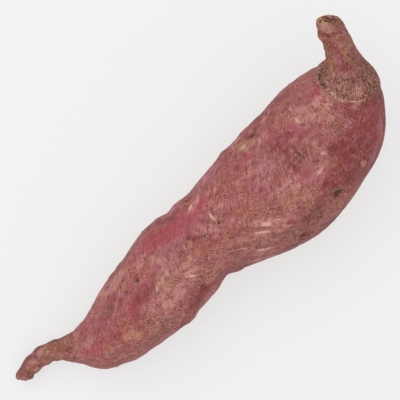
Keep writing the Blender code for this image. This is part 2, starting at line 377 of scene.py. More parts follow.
# %% [markdown]
# The fine skin has a ring every 0.64 mm and 216 points round each. At each cut end the rings close in
# on the middle in equal steps, so that the end face has points for its own pits, and a single point
# closes it. What would sink into the table is lifted to it, which leaves the two small flats that the
# root rests on.

# %% Build the fine skin
SKIN_SIDES = 216
SKIN_RING_GAP = 0.64 * MM
END_RINGS = 11


def end_reaches(cap):
    """How far from the end each ring of a cap is, for rings whose widths grow in equal steps."""
    share = np.arange(1, END_RINGS) / END_RINGS
    return cap * (1 - (1 - share**CAP_ROUNDNESS) ** (1 / CAP_ROUNDNESS))


def skin_grid():
    body = np.arange(TAIL_CAP, ROOT_LENGTH - NECK_CAP, SKIN_RING_GAP)
    rings = np.concatenate([end_reaches(TAIL_CAP), body, (ROOT_LENGTH - end_reaches(NECK_CAP))[::-1]])
    turns = np.arange(SKIN_SIDES) * 360 / SKIN_SIDES
    return np.meshgrid(rings, turns, indexing="ij")


def grid_faces(rings, sides):
    """Quads between the rings, and a fan to the single point that closes each end."""
    ring, side = np.meshgrid(np.arange(rings - 1), np.arange(sides), indexing="ij")
    here = ring * sides + side
    beside = ring * sides + (side + 1) % sides
    faces = np.stack([here, here + sides, beside + sides, beside], -1).reshape(-1, 4).tolist()
    tail_point, neck_point = rings * sides, rings * sides + 1
    last = (rings - 1) * sides
    for side in range(sides):
        after = (side + 1) % sides
        faces.append([tail_point, side, after])
        faces.append([neck_point, last + after, last + side])
    return faces


ring_along, ring_around = skin_grid()
ring_points, ring_relief = surface(ring_along, ring_around)
end_points, _ = surface(np.array([0.0, ROOT_LENGTH]), np.zeros(2))
skin_points = np.concatenate([ring_points.reshape(-1, 3), end_points])
skin_points[:, 2] = np.maximum(skin_points[:, 2], 0)
box_middle = (skin_points.min(0) + skin_points.max(0)) / 2
origin_shift = np.array([-box_middle[0], -box_middle[1], 0])
skin_points += origin_shift

skin_mesh = bpy.data.meshes.new("sweet_potato_skin")
skin_mesh.from_pydata(skin_points, [], grid_faces(*ring_along.shape))
skin = bpy.data.objects.new("sweet_potato_skin", skin_mesh)
scene_collection = bpy.context.scene.collection
scene_collection.objects.link(skin)
print(f"skin: {ring_along.shape[0]} rings of {SKIN_SIDES} points")

# %% [markdown]
# Colours and fine relief need to know where they are on the skin. Attributes carry that: skin_place
# is the skin unrolled, as a tube of one width, so that a pattern can be stretched along the root or
# across it with no seam. The others say how strongly each kind of mark shows at each point.

# %% Places and soft masks on the skin
UNROLLED_RADIUS = 26.0


def with_ends(values, tail_value, neck_value):
    """Adds the two closing points to values on the rings."""
    return np.concatenate([values.reshape(-1), [tail_value, neck_value]])


def add_attribute(name, values):
    kind, field = ("FLOAT", "value") if values.ndim == 1 else ("FLOAT_VECTOR", "vector")
    attribute = skin_mesh.attributes.new(name, kind, "POINT")
    attribute.data.foreach_set(field, values.astype(np.float32).ravel())


ring_turn = np.radians(ring_around)
half_widths = between_stations("half_width", ring_along) * MM


def unroll(slant_degrees):
    """The unrolled place, twisted so that a pattern stretched along it winds round at that slant."""
    turned = ring_turn - ring_along / MM / UNROLLED_RADIUS * math.tan(math.radians(slant_degrees))
    return np.column_stack([
        with_ends(UNROLLED_RADIUS * np.cos(turned), 0, 0),
        with_ends(UNROLLED_RADIUS * np.sin(turned), 0, 0),
        with_ends(ring_along / MM, 0, ROOT_LENGTH / MM),
    ])


for name, slant in (("skin_place", 0), ("left_wound", -46), ("right_wound", 24)):
    add_attribute(name, unroll(slant))

# %% Where the collar, neck, tail, cut ends and scars are
COLLAR_DROP = 5 * MM
COLLAR_DROP_DEGREES = 182
COLLAR_DROP_REACH = 22
NECK_AT = 242.6 * MM
NECK_WAVER = 1.6 * MM
NECK_WAVER_DEGREES = 60
TAIL_SKIN_END = 39 * MM
TAIL_SKIN_FULL = 31 * MM
FAR_FROM_SCARS = 6

dropped = COLLAR_DROP * bell(degrees_apart(ring_around, COLLAR_DROP_DEGREES), COLLAR_DROP_REACH)
edge = collar_edge(ring_around) + dropped
neck_start = NECK_AT + NECK_WAVER * np.sin(np.radians(ring_around - NECK_WAVER_DEGREES))
end_share = cap_share(ring_along)
scar_distance = np.minimum(scar_reach(ring_along, ring_around, half_widths), FAR_FROM_SCARS)
for name, values, at_tail, at_neck in (
    ("collar", between(ring_along, edge - 2 * MM, edge + 2 * MM, neck_start + MM, neck_start), 0, 0),
    ("neck", fade(ring_along, neck_start - MM, neck_start + MM), 0, 1),
    ("tail", fade(ring_along, TAIL_SKIN_END, TAIL_SKIN_FULL), 1, 0),
    ("cut_end", fade(end_share, 0.93, 0.75), 1, 1),
    ("pitted", fade(end_share, 0.8, 0.55), 1, 1),
    ("scar", scar_distance, FAR_FROM_SCARS, FAR_FROM_SCARS),
    ("height", ring_relief / MM, 0, 0),
):
    add_attribute(name, with_ends(values, at_tail, at_neck))

# %% Patches of colour
PATCHES = {
    "rust": (
        (151, 90, 7, 4.5, 1.2, -20), (147, 108, 4, 2.4, 0.9, 20), (156, 98, 5, 3, 0.6),
        (152, 46, 6, 3, 0.7, -20), (158, 55, 7, 4, 0.6), (137, 99, 5, 3, 0.6), (178, 114, 6, 4, 0.6),
        (183, 145, 7, 4, 0.9), (183, 128, 6, 4, 0.7), (168, 118, 4, 2.5, 0.5), (123, 97, 6, 4, 0.9),
        (91, 98, 3.5, 2.5, 0.8), (85, 50, 4, 2.5, 0.5), (67, 90, 5, 3, 0.8), (60, 108, 4, 3, 0.5),
        (218, 99, 3, 2.6, 1.2), (230.8, 104, 2.6, 2, 0.9), (240, 128, 3.5, 3, 0.8),
        (252, 36, 12, 2.4, 1.8), (241, 165, 6, 4, 1.5), (261, 52, 3.5, 1, 0.8), (27, 75, 6, 3, 0.9),
    ),
    "raspberry": (
        (138, 51, 9, 4.5, 1, -15), (126, 50, 7, 5.5, 0.9), (113, 46, 10, 5, 1.2, 5),
        (103, 42, 5, 3.5, 0.9), (118, 63, 6, 4, 0.5), (168, 46, 5, 4, 0.7, 20), (184, 50, 5, 4, 0.8),
        (196, 60, 5, 4, 0.7), (141, 95, 6, 3, 0.5, -30), (132, 98, 4, 3, 0.4),
        (182, 100, 5, 3, 0.7, 20), (230, 48, 4, 3, 1, -40), (48, 98, 6, 4.5, 0.3), (42, 104, 6, 4, 0.9),
        (56, 88, 5, 4, 0.6), (47, 44, 5, 4, 0.6), (66, 104, 5, 3, 0.6, -10), (78, 82, 8, 5, 0.7),
        (91, 72, 6, 4, 0.5), (90, 56, 4, 3, 0.6), (62, 132, 4, 3, 0.5), (75, 38, 7, 3.5, 0.6),
        (158, 82, 6, 3, 0.4), (257, 70, 8, 2, 1), (248, 78, 4, 2.4, 1),
    ),
    "wine": (
        (216, 146, 28, 17, 1), (231, 128, 6, 8, 1.5), (212, 160, 9, 6, 1.3), (222, 130, 11, 8, 1.4),
        (184, 66, 11, 7, 0.75), (183, 86, 6, 5, 0.9), (218, 94, 5, 4, 0.9), (214, 120, 8, 6, 1.3),
        # Wine marks at 231 to 236 mm, 150 to 175 degrees: deep red, partly painted shadow under the
        # collar.
        (206, 110, 7, 3, 0.9, 55), (230, 106, 4, 6, 0.6), (231, 160, 8, 7, 2), (203, 134, 7, 5, 1.1),
        (188, 125, 4, 4, 0.8), (188, 118, 3, 2.4, 1), (188, 77, 2.4, 2, 1.1, 40), (193, 66, 4, 3, 0.4),
        (165, 83, 3.6, 2, 1, 25), (163, 95, 3, 2.4, 0.6), (172, 107, 3, 2, 0.7), (172, 132, 5, 4, 1.5),
        (122, 79, 4, 3, 0.9), (115, 85, 4.5, 3.5, 0.8), (105, 141, 7, 5, 1.3), (98, 147, 5, 3.5, 1),
        (82, 82, 5, 4, 0.9, -20), (75, 94, 3, 2.4, 0.6), (88, 82, 4, 3, 0.3), (60, 97, 4, 2.4, 0.8),
        (86, 158, 7, 4, 1.2), (211, 160, 6, 4, 0.6), (130, 166, 7, 3.5, 0.9), (156, 163, 7, 4, 1.2),
        (70, 20, 8, 3, 0.6), (48, 150, 6, 2.5, 0.6), (31, 92, 3, 2.2, 0.9), (244.5, 74, 2.6, 2.2, 0.8),
        (236, 152, 5, 6, 1.3), (234, 172, 8, 6, 2.2), (199, 76, 3, 2.4, 0.5), (81, 40, 5, 3, 0.5),
        (174, 166, 8, 4, 1.1), (199, 121, 4, 4, 0.9), (193, 125, 4, 4, 0.6), (152, 94, 4, 3, 0.6),
        (128, 79, 3, 2.4, 0.8), (186, 60, 6, 4, 0.5), (251, 92, 5, 2, 0.9), (262, 100, 4, 1.6, 0.8),
        (265.4, 62, 0.8, 4, 1.3),
    ),
    "dusk": (
        # Dusk marks at 237 to 243 mm on the left and top: painted shadow under the neck's base.
        (240.8, 61, 2.2, 4, 0.7), (147, 114, 2, 2, 0.7), (174, 135, 9, 7, 1.3, -10),
        (172, 166, 12, 5, 1.1), (219, 95, 5, 4, 0.5), (165, 140, 6, 4, 0.8), (178, 165, 12, 5, 0.8),
        (157, 170, 5, 4, 0.9), (238, 40, 2.4, 3.4, 1.2), (242.6, 84, 0.7, 8, 1, 4),
        (270.2, 150, 2, 6, 1.2), (153, 130, 9, 4, 1.2, 10), (160, 150, 7, 3.5, 0.9, 10),
        (200, 130, 6, 4, 0.8), (212.8, 121, 2, 1.8, 1.6), (196, 82, 5, 4, 0.6), (191, 142, 5, 4, 0.8),
        (201, 104, 3, 2, 0.7), (188.8, 136, 2.4, 2.2, 1.8), (186, 128, 4, 3, 0.8), (80, 135, 7, 5, 0.9),
        (86, 143, 6, 4, 0.7), (77, 108, 4, 3, 0.8), (111, 127, 5, 3, 0.9), (134, 72, 4, 3, 0.6, 30),
        (128, 148, 7, 4, 0.6), (117, 150, 6, 4, 0.6), (204, 20, 12, 5, 0.8), (177, 162, 9, 3, 0.8),
        (180, 22, 5, 3.5, 0.6), (115, 14, 8, 4, 0.7), (92, 22, 8, 4, 0.6), (70, 145, 8, 4, 0.5),
        (55, 152, 6, 3, 0.5), (216.5, 95, 3.4, 3, 1.3), (215, 158, 8, 4, 0.5), (179, 60, 4, 3, 0.4),
        (35, 30, 4, 3, 0.7), (25, 25, 10, 2.5, 0.7), (17, 46, 3, 2.4, 1.3), (172, 132, 4, 3, 0.6),
        # Dusk marks at 237 to 241 mm, 150 to 175 degrees: brown, partly painted shadow under the collar.
        (10, 25, 8, 2, 0.6), (13, 125, 5, 3, 0.3), (250, 135, 4, 2.2, 0.9), (241, 152, 6, 6, 1.1),
        (238, 175, 8, 6, 1), (237, 160, 5, 5, 0.7), (237, 78, 2.4, 4, 0.8), (16, 32, 6, 2.6, 0.8),
        (4, 90, 3, 7, 0.5), (6, 140, 4, 3, 0.8), (241, 12, 4, 3, 0.9, 90),
        (240.4, 110, 1.4, 5, 0.6, 10), (265.6, 62, 0.8, 3.4, 0.8),
    ),
    "lilac": (
        (172, 68, 5.5, 4.5, 1.1), (164, 76, 5.5, 3.5, 0.9, 20), (177, 62, 5, 3.5, 0.4),
        (184, 104, 5, 3.5, 0.8), (196, 106, 4, 3, 0.5), (102, 76, 7, 5, 1, 10), (109, 69, 4, 3, 0.7),
        (116, 70, 5, 3.5, 0.6), (133, 66, 6, 4, 0.6), (126, 70, 5, 3.5, 0.5), (130, 116, 4, 4, 0.5),
        (224, 153, 8, 3.5, 0.8), (210, 152, 6, 3, 0.6), (108, 158, 6, 3, 0.9), (75, 156, 8, 3, 0.8),
        (63, 30, 7, 3, 0.7), (148, 20, 9, 4, 0.9), (124, 12, 9, 4, 0.9), (88, 118, 6, 4, 0.4),
        (243.5, 70, 2, 2.4, 0.6), (251, 52, 5, 1.6, 0.5), (253, 66, 5, 1.4, 1),
        (245, 84, 1.6, 2.4, 0.9), (238.5, 48, 1.4, 1.4, 1.1), (14, 88, 3, 4, 0.6),
    ),
    "tan": (
        (220.5, 77, 5, 4.5, 1.3), (174, 34, 3, 2, 0.8, 60), (172, 30, 6, 4, 1.6, 60),
        (207.2, 142, 1.4, 1.5, 1.5), (157, 112, 8, 2.6, 0.7, 20), (98, 86, 4, 2.6, 1.2, -20),
        (100, 92, 5, 4, 1.2), (95, 96, 4, 3, 0.9), (88, 42, 4, 2.5, 0.9), (97, 50, 5, 2.5, 0.6),
        (82, 122, 4, 3, 0.9), (75, 126, 4, 3, 0.6), (119, 130, 8, 5, 0.7), (115, 98, 5, 2.4, 1),
        (66, 106, 5, 2.6, 0.7), (69, 117, 4, 3, 0.6), (175, 110, 9, 6, 0.5, 10), (166, 104, 6, 4, 0.3),
        (133, 108, 6, 4, 0.5), (140, 120, 8, 4, 0.5), (53, 110, 4, 3, 0.6), (165, 60, 5, 3, 0.4, 20),
        (232, 66, 2.4, 2, 0.5), (258, 98, 9, 2, 0.8), (250, 30, 7, 2, 0.5), (20, 82, 3, 5, 0.7),
        (36, 92, 1.6, 6, 0.6),
    ),
    "pale": (
        (211, 60, 8, 5, 1.1, -20), (204, 62, 3, 2, 0.6), (215, 70, 5, 4, 0.6),
        (226, 60, 4, 2.6, 1, -40), (177, 95, 3.5, 2.6, 0.6), (176, 100, 4, 3, 0.6),
        (191, 103, 5, 2.2, 0.9, 20), (199.5, 98, 3, 2.6, 1.1), (181, 46, 4, 3, 0.8),
        (153, 107, 8, 2.2, 0.9, 24), (148, 118, 3.5, 1.6, 0.7, 20), (160, 116, 5, 2, 0.4, 20),
        (149, 130, 5, 3, 0.6, 10), (142, 143, 3.5, 2.4, 1.2), (137, 129, 4, 1.8, 0.8),
        (136, 162, 3, 2, 0.9), (167, 114, 3, 2, 0.4), (143, 67, 3, 1.6, 0.7),
        (138.6, 72, 3, 1.6, 0.8, -40), (134, 45, 6, 1.8, 1.1, -30), (127, 74, 2.6, 2, 0.8),
        (119, 82, 3, 2.4, 0.9), (170, 93, 5, 3, 0.6), (158, 123, 4, 2.4, 0.8, 10), (102, 88, 4, 3, 0.8),
        (107, 91, 4, 3, 0.8), (146, 46, 4, 3, 0.8), (193, 70, 3, 2, 0.6), (171, 10, 4, 3, 0.9),
        (78, 32, 6, 3, 0.9), (94, 101, 5, 4, 0.8), (85, 104, 4, 3, 0.6), (111, 106, 4, 3, 0.8),
        (190, 112, 4, 3, 0.5), (268, 50, 1.6, 3, 0.8), (132.5, 84, 5, 4, 0.9), (71, 16, 6, 3, 0.9),
        (191, 27, 6, 4, 0.8), (160, 62, 4, 3, 0.7), (223, 106, 4, 3, 0.8), (205, 69, 2.6, 2.4, 1),
        (187, 76, 2.4, 4, 0.5), (103.8, 85, 2.4, 1.6, 0.8, -48), (269, 64, 1.2, 3, 0.8),
        (232.9, 108, 2.4, 3, 0.6), (123, 14, 3, 3, 0.6), (81, 93, 4, 2.4, 0.5), (230, 70, 4, 2.6, 0.9),
        (103, 65, 4, 3, 0.8), (9, 122, 3, 2, 0.5), (12, 74, 3, 3, 0.5), (200, 88, 4, 3, 0.8),
        (122, 10, 3.4, 2.6, 0.9), (106, 84, 4, 3, 1), (100, 83, 4, 3, 0.7), (143, 168, 4, 3, 0.9),
        (139, 114, 6, 3, 0.7, 10), (209, 46, 3.4, 2.6, 0.7), (179.5, 22, 3, 2.4, 0.7),
        (197, 104, 3, 2.6, 0.6), (134, 30, 4, 2.6, 0.6), (180, 62, 3.4, 2.6, 0.5), (72, 33, 5, 3, 0.8),
        (165, 87, 4, 3, 0.5), (38, 36, 4, 3, 0.7), (232, 52, 3, 2.4, 0.7, -40), (97, 112, 5.5, 4, 1.3),
        (80, 33, 5, 3, 0.8), (91, 112, 5, 4, 0.8), (108, 112, 4, 3, 0.7), (105, 80, 4, 3, 0.6),
        (96, 53, 5, 2, 0.9, -20), (80, 36, 5, 3, 0.6), (46, 76, 4.5, 3.4, 0.6), (41, 88, 3, 3, 0.5),
        (57, 112, 4, 2.6, 0.5), (55, 136, 4, 2.4, 0.6), (235, 96, 6, 0.7, 0.6, 90),
        (269, 70, 5, 0.7, 0.9, 90), (17, 60, 2, 2.4, 0.7), (243, 48, 1.6, 1.6, 0.7),
        (238.5, 112, 3, 4, 0.7), (172, 31, 4, 2.4, 0.9, 60),
    ),
    "cream": (
        (101.4, 87, 2.2, 0.8, 1.3, -48), (236.2, 66, 0.9, 0.9, 1.1), (235.8, 72, 0.8, 0.8, 0.9),
        (97.7, 87, 2.4, 0.8, 1.5, -48), (94.6, 88, 2, 0.7, 1.4, -48), (132.5, 43, 2.2, 0.8, 1, -48),
        (141, 31, 8, 0.7, 0.7, -38), (137, 71, 2.4, 0.8, 0.9, 98), (207, 49, 2.4, 0.7, 0.8, -70),
        (204, 61, 2.6, 0.8, 1, -80), (229.8, 68, 2.2, 0.8, 0.8, 60), (190.7, 106, 3, 0.8, 0.9),
        (199, 99, 1.3, 1, 1.3, 40), (207.4, 139, 1, 0.9, 0.9), (109.2, 113, 2.2, 0.6, 0.9, 40),
        (92, 90, 1.6, 0.6, 1.3, -48), (153.2, 110, 2.2, 1.1, 1.4, 30), (149.6, 116, 3.4, 0.7, 1.3, 24),
        (142.4, 138, 1.6, 0.9, 1.4, 20), (146.5, 141, 2.2, 0.7, 1.2, 24),
        (137.8, 162, 1.8, 0.9, 1.3, 24), (137.8, 126, 3.4, 0.5, 1.1, 24), (171.5, 31, 2, 1, 1.3, -20),
        (235, 106, 2, 0.45, 1, 90), (234.8, 118, 1.8, 0.4, 0.9, 90), (234.3, 84, 3, 0.7, 0.7, 90),
        (267.2, 62, 4, 0.5, 1.2, 90),
    ),
    "amber": (
        (201.3, 99, 1.2, 0.9, 1.3), (212.8, 122, 1.3, 0.6, 0.6, -48), (191.2, 148, 1.6, 1, 0.7, -48),
        (179.4, 88, 1.8, 1, 0.7, -48), (244, 18, 2, 1.2, 0.7), (135.7, 94, 2.2, 1.2, 1, -48),
        (131.6, 136, 2, 1.2, 0.8, -48), (132.6, 20, 1.6, 1.2, 1), (98.2, 88, 1.6, 0.6, 0.6, -48),
        (218.5, 96, 1.6, 1.2, 0.6), (200.5, 126, 1.4, 0.9, 0.7, -48), (177.9, 104, 1.6, 0.9, 0.7, -48),
        (169.1, 20, 1.6, 1, 0.7), (269, 58, 0.8, 1.6, 0.8), (87.4, 48, 1.6, 1, 0.7),
    ),
    "olive": (
        (128, 85, 1.8, 1.6, 0.9), (135.8, 87, 1.8, 1.2, 1.1, 80), (112, 124, 3.5, 2.2, 1),
        (131, 135, 3, 2.4, 0.9), (66, 56, 3, 3.6, 1), (88, 63, 2.4, 2.4, 0.8), (82, 123, 3, 2.6, 0.8),
        (189, 84, 2.6, 2.2, 0.9), (190.4, 132, 2.6, 1.2, 1.4, 42), (190, 131, 2.6, 0.9, 1, 50),
        (162, 152, 4.5, 1.8, 0.9, 42), (178, 30, 3.4, 3, 0.8), (160.5, 12, 3.4, 2.2, 0.9),
        (144, 126, 7, 3.4, 1, 10), (160, 134, 6, 3, 0.8, 10), (53, 114, 4, 2.6, 0.6),
        (183, 136, 7, 4, 0.4), (221, 76, 3, 3, 0.6), (19.5, 80, 2.2, 6, 0.7),
    ),
}
HIDDEN_PATCHES = 14
PATCH_SEED = 5
STROKES = "cream", "amber"


def hidden_patches(kind):
    """Seeded patches of one kind on the sides that the photograph doesn't show."""
    draw = random.Random(f"{PATCH_SEED} {kind}")
    found = []
    for _ in range(HIDDEN_PATCHES):
        length = draw.uniform(1, 3) if kind in STROKES else draw.uniform(4, 10)
        width = length * draw.uniform(0.4, 0.8)
        place = draw.uniform(45, 232), draw.uniform(188, 356)
        slant = draw.uniform(-60, 60)
        found.append(Mark(*place, length, width, draw.uniform(0.5, 1.1), slant))
    return found


for kind, placed in PATCHES.items():
    field = np.zeros_like(ring_along)
    for patch in rows(Mark, placed) + hidden_patches(kind):
        field += patch.strength * bell(mark_reach(patch, ring_along, ring_around, half_widths), 1.0)
    add_attribute(kind, with_ends(field, 0, 0))
    print(f"{kind}: {len(placed)} patches from the list, {HIDDEN_PATCHES} drawn")

# %% [markdown]
# Node trees come next, one kind that moves points and one kind that gives colours, and both use the
# same few nodes. A small helper adds a node and fills its sockets: a value that is another node's
# output becomes a link, and anything else is typed in. The other helpers name what each node is for.

# %% Helpers for every node tree
def add_node(tree, kind, inputs=None, **settings):
    node = tree.nodes.new(kind)
    for name, value in settings.items():
        setattr(node, name, value)
    for name, value in (inputs or {}).items():
        if isinstance(value, bpy.types.NodeSocket):
            tree.links.new(value, node.inputs[name])
        else:
            node.inputs[name].default_value = value
    return node


def calculate(tree, operation, first, second=0.0, third=0.0):
    node = add_node(tree, "ShaderNodeMath", {0: first, 1: second, 2: third}, operation=operation)
    return node.outputs[0]


def times(tree, first, second):
    return calculate(tree, "MULTIPLY", first, second)


def swing(tree, cloud):
    """The cloud about 0 in place of 0.5."""
    return calculate(tree, "SUBTRACT", cloud, 0.5)


def stretch(tree, place, scales):
    """The place vector with each part multiplied, which squeezes a pattern along that part."""
    node = add_node(tree, "ShaderNodeVectorMath", {0: place, 1: scales}, operation="MULTIPLY")
    return node.outputs[0]


def noise(tree, place, size, detail=2.0, roughness=0.5, distortion=0.0):
    """Cloudy noise between 0 and 1 whose blobs are about size across, in the units of place."""
    inputs = {"Vector": place, "Scale": 1 / size, "Detail": detail, "Roughness": roughness}
    node = add_node(tree, "ShaderNodeTexNoise", {**inputs, "Distortion": distortion})
    return node.outputs[0]


def step_up(tree, value, start, end, height=1.0):
    """0 below start and height above end, with a smooth way between."""
    inputs = {"Value": value, "From Min": start, "From Max": end, "To Max": height}
    node = add_node(tree, "ShaderNodeMapRange", inputs, interpolation_type="SMOOTHSTEP")
    return node.outputs[0]


# %% [markdown]
# The fine relief is a Geometry Nodes tree, because it is a rule that repeats over the whole skin:
# wrinkles that run across the root, fibres that run along the neck, collar and tail, pores
# everywhere, and deep pits in the cut ends. It moves each point along its normal. A displacement in
# the material would look the same in a render, but a moved point is real in every view and in the
# mesh itself. Close to the table the relief fades out, so that the root still rests flat.

# %% How every Geometry Nodes tree starts and ends
def start_tree(name, numbers=(), counts=()):
    """An empty tree with named inputs, and the sockets that hand out what they are set to."""
    tree = bpy.data.node_groups.new(name, "GeometryNodeTree")
    inputs = {"Geometry": "Geometry", **dict.fromkeys(numbers, "Float"), **dict.fromkeys(counts, "Int")}
    for label, kind in {**inputs, "Material": "Material"}.items():
        tree.interface.new_socket(label, in_out="INPUT", socket_type=f"NodeSocket{kind}")
    tree.interface.new_socket("Geometry", in_out="OUTPUT", socket_type="NodeSocketGeometry")
    return tree, add_node(tree, "NodeGroupInput").outputs


def end_tree(tree, geometry, material):
    """Makes every instance real, because the export drops instances, and sets the material."""
    whole = add_node(tree, "GeometryNodeRealizeInstances", {0: geometry})
    dressed = add_node(tree, "GeometryNodeSetMaterial", {0: whole.outputs[0], "Material": material})
    add_node(tree, "NodeGroupOutput", {0: dressed.outputs[0]})
    return tree


def stored(tree, name, kind="FLOAT"):
    return add_node(tree, "GeometryNodeInputNamedAttribute", {"Name": name}, data_type=kind).outputs[0]


# %% The tree that wrinkles the skin
END_PIT_SIZE = 1.6
RELIEF_CHOICES = {
    "Wrinkle Height": 0.45 * MM,
    "Wrinkle Gap": 3.4,
    "Fibre Height": 0.7 * MM,
    "Pore Depth": 0.35 * MM,
    "Pit Depth": 0.5 * MM,
}


def relief_tree():
    tree, given = start_tree("skin relief", RELIEF_CHOICES)
    unrolled = stored(tree, "skin_place", "FLOAT_VECTOR")
    place = stretch(tree, add_node(tree, "GeometryNodeInputPosition").outputs[0], (1000, 1000, 1000))

    squeezed = stretch(tree, unrolled, (0.12, 0.12, 1.0))
    scale = calculate(tree, "DIVIDE", 1.0, given["Wrinkle Gap"])
    folded = add_node(tree, "ShaderNodeTexNoise", {"Vector": squeezed, "Scale": scale, "Detail": 2.0})
    wrinkles = times(tree, swing(tree, folded.outputs[0]), given["Wrinkle Height"])

    half_tail = times(tree, stored(tree, "tail"), 0.5)
    fibrous = calculate(tree, "MAXIMUM", stored(tree, "neck"), stored(tree, "collar"))
    fibrous = calculate(tree, "MAXIMUM", fibrous, half_tail)
    fibres = noise(tree, stretch(tree, unrolled, (1.0, 1.0, 0.2)), 2.0, detail=3.0)
    fibres = times(tree, times(tree, swing(tree, fibres), fibrous), given["Fibre Height"])

    pores = times(tree, swing(tree, noise(tree, place, 2.4, detail=3.0)), given["Pore Depth"])
    pits = step_up(tree, noise(tree, place, END_PIT_SIZE), 0.5, 0.36)
    pits = times(tree, times(tree, pits, stored(tree, "pitted")), given["Pit Depth"])

    total = calculate(tree, "ADD", wrinkles, fibres)
    total = calculate(tree, "ADD", total, calculate(tree, "SUBTRACT", pores, pits))
    above_table = add_node(tree, "ShaderNodeSeparateXYZ", {0: place}).outputs["Z"]
    total = times(tree, total, step_up(tree, above_table, 0.0, 1.2))
    normal = add_node(tree, "GeometryNodeInputNormal").outputs[0]
    push = add_node(tree, "ShaderNodeVectorMath", {0: normal, "Scale": total}, operation="SCALE")
    moved = add_node(tree, "GeometryNodeSetPosition", {
        "Geometry": given["Geometry"],
        "Offset": push.outputs[0],
    })
    return end_tree(tree, moved.outputs[0], given["Material"])


# %% Run a tree on an object and keep the result as a plain mesh
def grow(piece, tree, choices):
    """Runs the tree with the chosen input values, and leaves its result as the piece's own mesh."""
    modifier = piece.modifiers.new(tree.name, "NODES")
    modifier.node_group = tree
    for item in tree.interface.items_tree:
        if item.in_out == "INPUT" and item.name in choices:
            modifier[item.identifier] = choices[item.name]
    depsgraph = bpy.context.evaluated_depsgraph_get()
    grown = bpy.data.meshes.new_from_object(piece.evaluated_get(depsgraph), depsgraph=depsgraph)
    piece.modifiers.remove(modifier)
    piece.data = grown
    grown.name = piece.name
    grown.shade_smooth()
    return grown


# %% [markdown]
# The skin's colour is built in layers, as paint would be. Under everything lies a rose that drifts
# between mauve, brick and crimson in clouds of three sizes. The patches come over it, broken up by
# strands that cross each side of the root at a slant of its own. Then come pale streaks, freckles and
# thin cork lines that wander like the contours on a map, all of them fainter where the red is deep
# and smooth, and over those the cream and amber strokes. Brown fibres take their place on the neck,
# collar and tail, and the scars go over everything. Every size is in millimetres on the skin, so the
# same material is right from any side. The tones follow averages that scripts measured over parts of
# the photograph and over nine families of its colours, tuned by comparing renders with it.

# %% The skin's tones
def tone(red, green, blue):
    """A screen's colour, from 0 to 255, as the linear colour that Blender wants."""
    shares = [part / 255 for part in (red, green, blue)]
    linear = [(part + 0.055) ** 2.4 / 1.055**2.4 if part > 0.04 else part / 12.92 for part in shares]
    return (*linear, 1.0)


ROSE = tone(159, 88, 88)
MAUVE = tone(161, 97, 98)
BRICK = tone(158, 92, 72)
LILAC_HAZE = tone(172, 94, 112)
CRIMSON = tone(149, 68, 72)
PALE_PINK = tone(204, 146, 132)
CORK_LINE = tone(210, 146, 134)
# Dark of the skin's deep lines, also used as painted shade in the hollows of the relief.
DEEP_LINE_AND_HOLLOW_SHADE = tone(112, 45, 47)
PATCH_TONES = {
    "rust": (tone(160, 90, 68), 0.75, 2.0),
    "raspberry": (tone(172, 72, 86), 0.8, 1.5),
    "wine": (tone(118, 38, 44), 0.8, 1.5),
    "dusk": (tone(114, 70, 62), 0.75, 2.0),
    "lilac": (tone(174, 108, 120), 0.75, 1.6),
    "tan": (tone(198, 146, 112), 0.7, 2.6),
    "pale": (tone(216, 156, 146), 0.65, 2.6),
    "olive": (tone(126, 102, 72), 0.75, 2.2),
    "cream": (tone(230, 184, 162), 0.8, 2.0),
    "amber": (tone(188, 130, 90), 0.6, 1.6),
}
COLLAR_BROWN = tone(160, 106, 89)
OLIVE_TAN = tone(152, 106, 84)
COLLAR_FIBRE = tone(200, 154, 132)
DARK_FIBRE = tone(74, 46, 38)
NECK_BROWN = tone(158, 99, 88)
NECK_RED = tone(136, 58, 64)
NECK_TAN = tone(180, 128, 108)
TAIL_BROWN = tone(152, 100, 88)
# Dark of the scars, and painted shadow along the crack beside the collar.
SCAR_DARK_AND_CRACK_SHADOW = tone(78, 58, 46)
END_TAN = tone(196, 150, 110)
END_PIT = tone(50, 34, 24)
FLECK_DARK = tone(98, 62, 50)
FLECK_PALE = tone(214, 170, 142)
ROOTLET_FOOT = tone(216, 176, 144)
ROOTLET_TIP = tone(160, 136, 96)
PATCH_EDGE = 0.1, 0.9
BROAD_KINDS = [kind for kind in PATCH_TONES if kind not in STROKES]
WORM_STEP = 0.05
SKIN_GLOSS = 0.17


# %% Colour helpers
def new_material(name):
    material = bpy.data.materials.new(name)
    material.use_nodes = True
    material.node_tree.nodes.clear()
    return material, material.node_tree


def blend(tree, factor, under, over):
    """The under colour with the over colour laid on it as strongly as factor says."""
    node = add_node(tree, "ShaderNodeMix", {0: factor, 6: under, 7: over}, data_type="RGBA")
    return node.outputs[2]


def read(tree, name, part="Fac"):
    return add_node(tree, "ShaderNodeAttribute", attribute_name=name).outputs[part]


def object_place(tree):
    """The place on the object, in millimetres."""
    return stretch(tree, add_node(tree, "ShaderNodeTexCoord").outputs["Object"], (1000, 1000, 1000))


def ragged(tree, field, cloud, rough, start, end, height=1.0):
    """A soft field turned into a patch whose edge is broken by noise."""
    shaken = calculate(tree, "MULTIPLY_ADD", swing(tree, cloud), rough, field)
    return step_up(tree, shaken, start, end, height)


def thin_line(tree, cloud, level, half_width, height=1.0):
    """Lines along which a cloud has one level, as on a map."""
    off = calculate(tree, "ABSOLUTE", calculate(tree, "SUBTRACT", cloud, level))
    return step_up(tree, off, half_width, 0.0, height)


# %% The clouds and fields that all layers share
Clouds = namedtuple("Clouds", "broad middle hue small speck fine fibre worm streak rightness")


